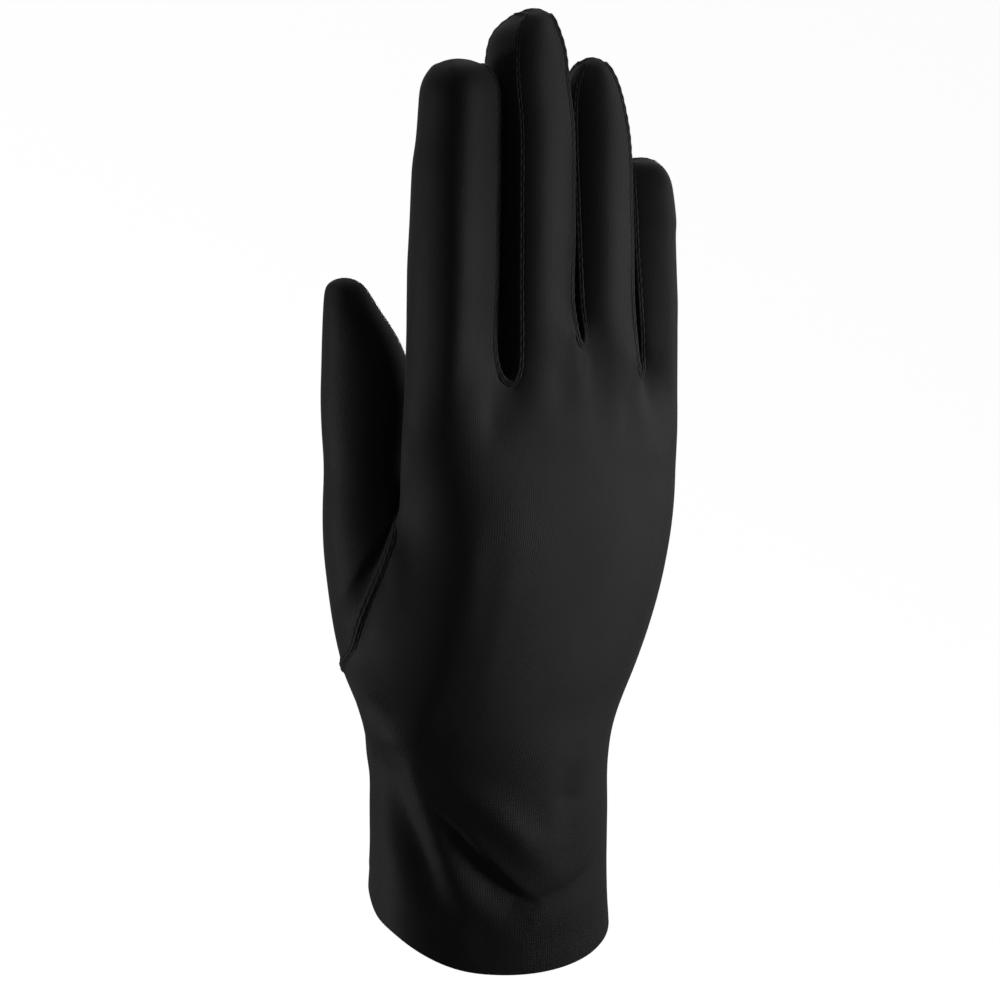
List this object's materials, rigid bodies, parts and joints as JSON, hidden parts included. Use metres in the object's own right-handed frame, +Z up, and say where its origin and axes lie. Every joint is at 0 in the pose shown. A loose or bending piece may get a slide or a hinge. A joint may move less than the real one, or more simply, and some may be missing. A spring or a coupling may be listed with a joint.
{
  "type": "wrist length dress glove",
  "caption": "Plain black wrist length dress glove for the right hand, in its worn form, with set-in thumb, strips between the fingers and a turned wrist hem.",
  "frame": {"origin": "centre of the wrist opening, at the middle height of its slanted hem", "axes": "+Z up along the fingers, +Y towards the palm, -Y the back of the hand, -X the thumb side, +X the little finger side"},
  "size_m": [0.0888, 0.0503, 0.2254],
  "materials": {
    "glove_cloth": "matte satin stretch knit",
    "hem_cloth": "matte satin stretch knit, turned and doubled"
  },
  "bodies": {
    "root": {"back_panel": "glove_cloth", "palm_panel": "glove_cloth", "fourchette_index_middle": "glove_cloth", "fourchette_middle_ring": "glove_cloth", "fourchette_ring_little": "glove_cloth", "thumb": "glove_cloth", "wrist_hem": "hem_cloth"}
  },
  "joints": []
}
